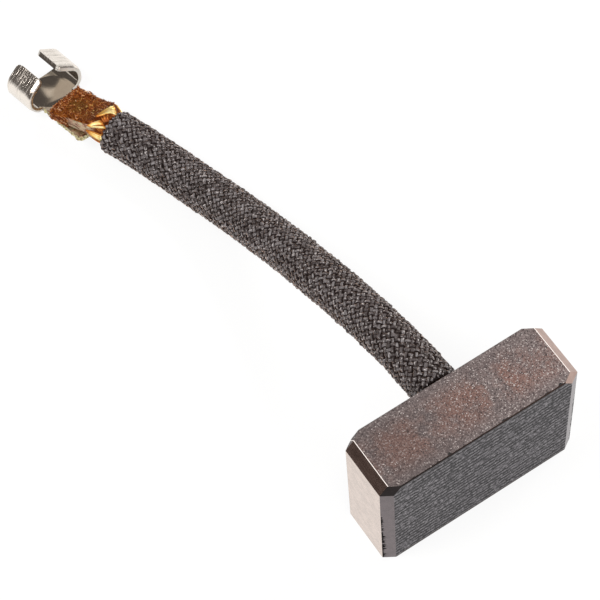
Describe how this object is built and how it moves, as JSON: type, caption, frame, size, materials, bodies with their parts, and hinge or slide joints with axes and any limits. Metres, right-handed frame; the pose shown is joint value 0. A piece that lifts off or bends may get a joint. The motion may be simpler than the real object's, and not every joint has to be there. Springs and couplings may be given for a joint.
{
  "type": "carbon brush",
  "caption": "Rectangular metal-graphite brush with a sleeved copper lead from its back face, ending in an open clip terminal.",
  "frame": {"origin": "centre of the contact face, the 32 by 10 mm face that the brush stands on", "axes": "+X along the length of the contact face, +Y out of the back face where the lead leaves, +Z from the contact face up to the spring face"},
  "size_m": [0.0367, 0.0984, 0.0223],
  "materials": {
    "metal_graphite": "pressed and sintered, fine-ground, dull with metallic sparkles",
    "copper_braid": "fine bare copper strands",
    "sleeve_braid": "black braided fibre, slightly glossy",
    "nickel_plate": "bright nickel plate with brushed streaks, bare metal at the sheared edges"
  },
  "bodies": {
    "root": {"carbon_block": "metal_graphite", "copper_lead": "copper_braid", "insulating_sleeve": "sleeve_braid", "clip_terminal": "nickel_plate"}
  },
  "joints": []
}
